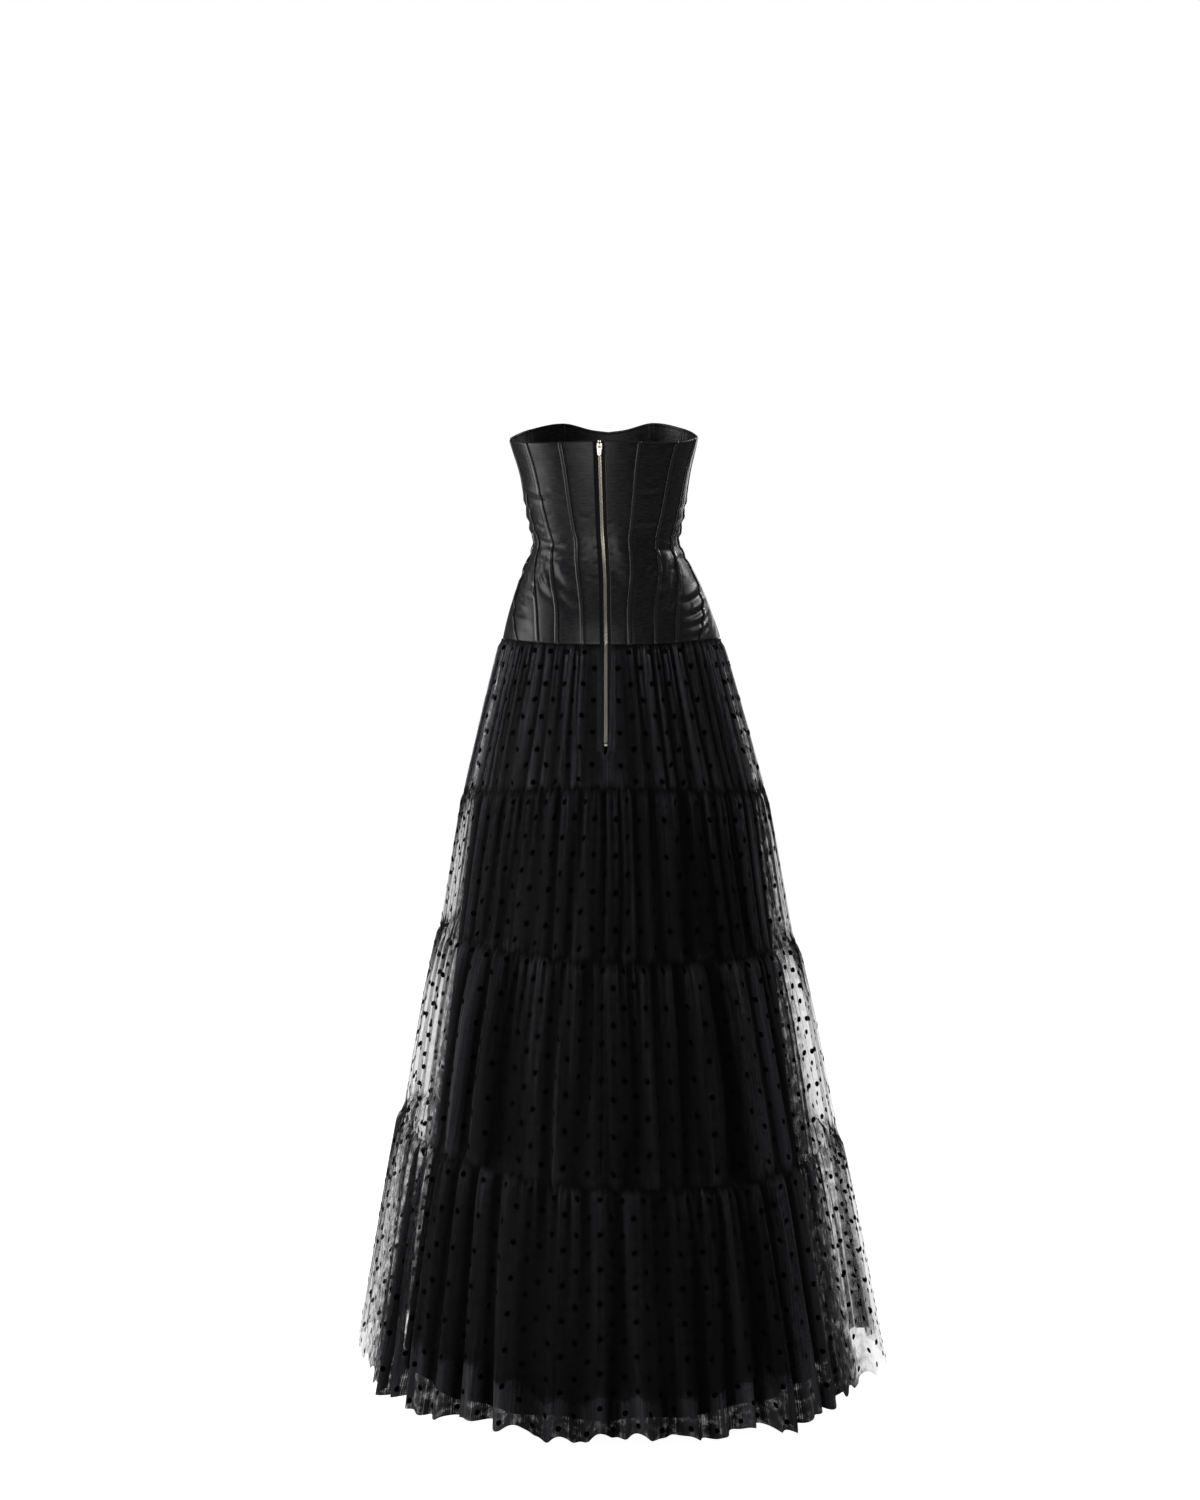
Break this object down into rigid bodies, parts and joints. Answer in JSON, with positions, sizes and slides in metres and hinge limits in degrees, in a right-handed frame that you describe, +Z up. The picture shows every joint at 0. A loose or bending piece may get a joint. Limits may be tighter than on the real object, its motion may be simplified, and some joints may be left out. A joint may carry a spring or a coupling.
{
  "type": "corset dress",
  "caption": "Strapless boned satin corset dress, worn form, with a back zip, a basque, gathered tiers of dotted black tulle and a plain underskirt.",
  "frame": {"origin": "the middle of the waist, where the dress grips the body that wears it", "axes": "+Z up the wearer's body, -Y the way the wearer faces, +X to the wearer's left"},
  "size_m": [0.7957, 0.7878, 1.3711],
  "materials": {
    "satin": "charcoal-black duchess satin with a fine grain and a soft sheen",
    "boning_channel": "the same satin, stretched over a narrow bone",
    "zip_tape": "matt black woven tape",
    "zip_teeth": "pale gold plated teeth",
    "zip_slider": "bright plated slider and pull",
    "dotted_tulle": "sheer black tulle with flocked velvet dots",
    "underskirt": "matt opaque black lining cloth"
  },
  "bodies": {
    "dress": {"panel_centre_back_left": "satin", "panel_centre_back_right": "satin", "panel_back_left": "satin", "panel_back_right": "satin", "panel_side_back_left": "satin", "panel_side_back_right": "satin", "panel_side_left": "satin", "panel_side_right": "satin", "panel_side_front_left": "satin", "panel_side_front_right": "satin", "panel_front_left": "satin", "panel_front_right": "satin", "panel_centre_front": "satin", "channel_centre_back_left": "boning_channel", "channel_centre_back_right": "boning_channel", "channel_back_left": "boning_channel", "channel_back_right": "boning_channel", "channel_side_back_left": "boning_channel", "channel_side_back_right": "boning_channel", "channel_side_left": "boning_channel", "channel_side_right": "boning_channel", "channel_side_front_left": "boning_channel", "channel_side_front_right": "boning_channel", "channel_front_left": "boning_channel", "channel_front_right": "boning_channel", "zip_tape_left": "zip_tape", "zip_tape_right": "zip_tape", "zip_chain": "zip_teeth", "zip_top_stop_left": "zip_teeth", "zip_top_stop_right": "zip_teeth", "zip_bottom_stop": "zip_teeth", "zip_slider": "zip_slider", "tulle_tier_1_back_left": "dotted_tulle", "tulle_tier_1_back_right": "dotted_tulle", "tulle_tier_1_front": "dotted_tulle", "tulle_tier_2_back": "dotted_tulle", "tulle_tier_2_front": "dotted_tulle", "tulle_tier_3_back": "dotted_tulle", "tulle_tier_3_front": "dotted_tulle", "tulle_tier_4_back": "dotted_tulle", "tulle_tier_4_front": "dotted_tulle", "underskirt_back_left": "underskirt", "underskirt_back_right": "underskirt", "underskirt_front": "underskirt"},
    "pull": {"pull_tab": "zip_slider"}
  },
  "joints": [
    {"name": "pull_tab_hinge", "type": "hinge", "parent": "dress", "child": "pull", "pos_m": [0.00364, 0.09642, 0.13314], "axis": [1, 0, 0], "range_deg": [0, 170]}
  ]
}
